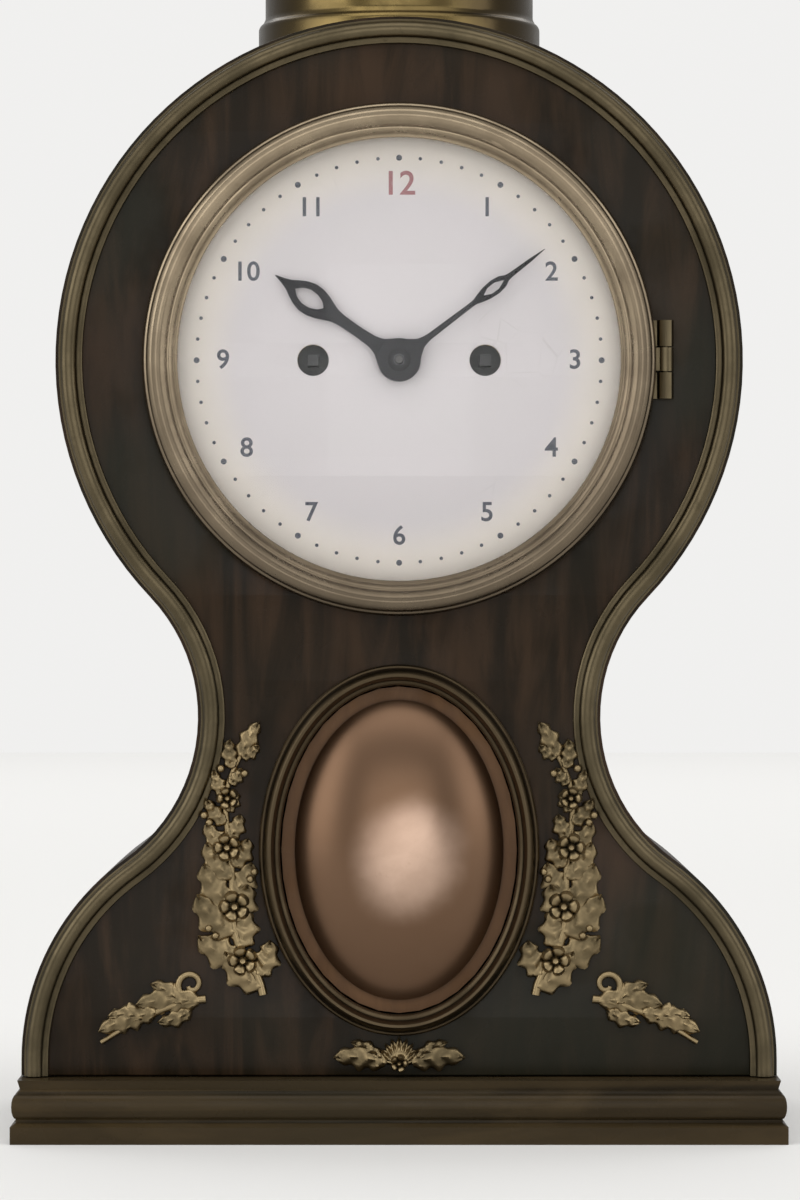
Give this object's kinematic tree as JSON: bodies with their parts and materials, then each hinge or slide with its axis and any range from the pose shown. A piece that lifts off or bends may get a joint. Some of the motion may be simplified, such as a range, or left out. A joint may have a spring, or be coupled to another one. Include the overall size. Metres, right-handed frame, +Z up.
{
  "type": "balloon clock",
  "caption": "Waisted balloon-shaped mantel clock with hinged glazed bezel, enamel dial, oval boss, leaf mounts and a striking spring movement with pendulum.",
  "frame": {"origin": "middle of the plinth's underside", "axes": "+Z up, the dial faces -Y, +X to the right as one looks at the dial"},
  "size_m": [0.1776, 0.114, 0.3351],
  "materials": {
    "ebonised_wood": "dark ebonised veneer, satin",
    "brown_wood": "brown stained wood, dull",
    "pine": "bare softwood",
    "old_brass": "aged lacquered brass",
    "gilt": "rubbed gilding with patina in the hollows",
    "copper_bronze": "polished copper-brown bronze",
    "clean_brass": "brushed brass",
    "steel": "plain steel",
    "blued_steel": "blued steel",
    "enamel": "fired white enamel",
    "bezel_glass": "clear glass",
    "bell_metal": "turned bell metal"
  },
  "bodies": {
    "case": {"plinth": "ebonised_wood", "floor_board": "pine", "front_board": "ebonised_wood", "back_board": "brown_wood", "side_right": "ebonised_wood", "side_left": "ebonised_wood", "edge_bead": "old_brass", "boss_panel": "brown_wood", "boss": "copper_bronze", "boss_frame": "old_brass", "spray_right": "gilt", "spray_left": "gilt", "corner_leaf_right": "gilt", "corner_leaf_left": "gilt", "shell_mount": "gilt", "socle": "old_brass", "socle_cap": "old_brass", "finial": "gilt", "dial_ring": "clean_brass", "rear_ring": "clean_brass", "strap_right": "steel", "strap_left": "steel", "enamel_dial": "enamel", "dial_plate": "clean_brass", "front_plate": "clean_brass", "back_plate": "clean_brass", "pillar_1": "clean_brass", "pillar_2": "clean_brass", "pillar_3": "clean_brass", "pillar_4": "clean_brass", "suspension_cock": "clean_brass", "bell": "bell_metal", "bell_standard": "steel"},
    "bezel": {"bezel": "old_brass", "bezel_glass": "bezel_glass"},
    "rear_door": {"rear_door": "clean_brass"},
    "minute_work": {"minute_hand": "blued_steel", "hand_collet": "clean_brass", "cannon_pinion": "steel"},
    "hour_work": {"hour_hand": "blued_steel", "hour_wheel": "clean_brass"},
    "minute_wheel": {"minute_wheel": "clean_brass"},
    "going_barrel": {"going_barrel": "clean_brass"},
    "going_second_wheel": {"going_second_wheel": "clean_brass"},
    "centre_wheel": {"centre_wheel": "clean_brass"},
    "third_wheel": {"third_wheel": "clean_brass"},
    "escape_wheel": {"escape_wheel": "clean_brass"},
    "strike_barrel": {"strike_barrel": "clean_brass"},
    "strike_second_wheel": {"strike_second_wheel": "clean_brass"},
    "pin_wheel": {"pin_wheel": "clean_brass"},
    "fly": {"fly": "steel"},
    "going_arbor": {"going_arbor": "steel"},
    "strike_arbor": {"strike_arbor": "steel"},
    "going_click": {"going_click": "steel"},
    "strike_click": {"strike_click": "steel"},
    "anchor": {"anchor": "steel"},
    "pendulum": {"pendulum_rod": "steel", "pendulum_bob": "clean_brass", "rating_nut": "clean_brass"},
    "hammer": {"hammer": "steel"}
  },
  "joints": [
    {"name": "bezel_hinge", "type": "hinge", "parent": "case", "child": "bezel", "pos_m": [0.0611, -0.0484, 0.1794], "axis": [0, 0, 1], "range_deg": [0, 110]},
    {"name": "rear_door_hinge", "type": "hinge", "parent": "case", "child": "rear_door", "pos_m": [-0.0592, 0.0484, 0.1794], "axis": [0, 0, 1], "range_deg": [0, 100]},
    {"name": "minute_hand_turn", "type": "hinge", "parent": "case", "child": "minute_work", "pos_m": [0, -0.0475, 0.1794], "axis": [0, 1, 0], "continuous": true},
    {"name": "hour_hand_turn", "type": "hinge", "parent": "case", "child": "hour_work", "pos_m": [0, -0.046, 0.1794], "axis": [0, 1, 0], "continuous": true},
    {"name": "minute_wheel_turn", "type": "hinge", "parent": "case", "child": "minute_wheel", "pos_m": [0, -0.0375, 0.1674], "axis": [0, 1, 0], "continuous": true},
    {"name": "third_wheel_turn", "type": "hinge", "parent": "case", "child": "third_wheel", "pos_m": [0.00877, -0.0207, 0.19134], "axis": [0, 1, 0], "continuous": true},
    {"name": "centre_wheel_turn", "type": "hinge", "parent": "case", "child": "centre_wheel", "pos_m": [0, -0.0207, 0.1794], "axis": [0, 1, 0], "continuous": true},
    {"name": "going_second_wheel_turn", "type": "hinge", "parent": "case", "child": "going_second_wheel", "pos_m": [0.00892, -0.0207, 0.1666], "axis": [0, 1, 0], "continuous": true},
    {"name": "going_barrel_turn", "type": "hinge", "parent": "case", "child": "going_barrel", "pos_m": [0.0198, -0.0207, 0.1794], "axis": [0, 1, 0], "continuous": true},
    {"name": "escape_wheel_turn", "type": "hinge", "parent": "case", "child": "escape_wheel", "pos_m": [0, -0.0207, 0.19909], "axis": [0, 1, 0], "continuous": true},
    {"name": "pin_wheel_turn", "type": "hinge", "parent": "case", "child": "pin_wheel", "pos_m": [-0.01374, -0.0207, 0.20253], "axis": [0, 1, 0], "continuous": true},
    {"name": "strike_second_wheel_turn", "type": "hinge", "parent": "case", "child": "strike_second_wheel", "pos_m": [-0.00892, -0.0207, 0.1922], "axis": [0, 1, 0], "continuous": true},
    {"name": "strike_barrel_turn", "type": "hinge", "parent": "case", "child": "strike_barrel", "pos_m": [-0.0198, -0.0207, 0.1794], "axis": [0, 1, 0], "continuous": true},
    {"name": "fly_turn", "type": "hinge", "parent": "case", "child": "fly", "pos_m": [-0.01115, -0.0207, 0.21218], "axis": [0, 1, 0], "continuous": true},
    {"name": "going_winding", "type": "hinge", "parent": "case", "child": "going_arbor", "pos_m": [0.0198, -0.0207, 0.1794], "axis": [0, 1, 0], "continuous": true},
    {"name": "strike_winding", "type": "hinge", "parent": "case", "child": "strike_arbor", "pos_m": [-0.0198, -0.0207, 0.1794], "axis": [0, 1, 0], "continuous": true},
    {"name": "going_click_lift", "type": "hinge", "parent": "case", "child": "going_click", "pos_m": [0.027, -0.0356, 0.1874], "axis": [0, 1, 0], "range_deg": [0, 12], "stiffness_Nm_per_rad": 0.001},
    {"name": "strike_click_lift", "type": "hinge", "parent": "case", "child": "strike_click", "pos_m": [-0.027, -0.0356, 0.1874], "axis": [0, 1, 0], "range_deg": [-12, 0], "stiffness_Nm_per_rad": 0.001},
    {"name": "pendulum_swing", "type": "hinge", "parent": "case", "child": "pendulum", "pos_m": [0, -0.0022, 0.2104], "axis": [0, 1, 0], "range_deg": [-4, 4]},
    {"name": "anchor_rock", "type": "hinge", "parent": "case", "child": "anchor", "pos_m": [0, -0.0207, 0.2104], "axis": [0, 1, 0], "range_deg": [-4, 4]},
    {"name": "hammer_lift", "type": "hinge", "parent": "case", "child": "hammer", "pos_m": [-0.03547, -0.0207, 0.19127], "axis": [0, 1, 0], "range_deg": [-10, 0], "stiffness_Nm_per_rad": 0.004, "springref_deg": 2.86}
  ],
  "couplings": [
    {"joint": "minute_wheel_turn", "follows": "minute_hand_turn", "ratio": -0.33333},
    {"joint": "hour_hand_turn", "follows": "minute_hand_turn", "ratio": 0.083333},
    {"joint": "centre_wheel_turn", "follows": "third_wheel_turn", "ratio": -0.083333},
    {"joint": "going_second_wheel_turn", "follows": "third_wheel_turn", "ratio": 0.015152},
    {"joint": "going_barrel_turn", "follows": "third_wheel_turn", "ratio": -0.0025253},
    {"joint": "escape_wheel_turn", "follows": "third_wheel_turn", "ratio": -12},
    {"joint": "strike_second_wheel_turn", "follows": "pin_wheel_turn", "ratio": -0.1875},
    {"joint": "strike_barrel_turn", "follows": "pin_wheel_turn", "ratio": 0.03125},
    {"joint": "fly_turn", "follows": "pin_wheel_turn", "ratio": -8},
    {"joint": "anchor_rock", "follows": "pendulum_swing", "ratio": 1}
  ]
}
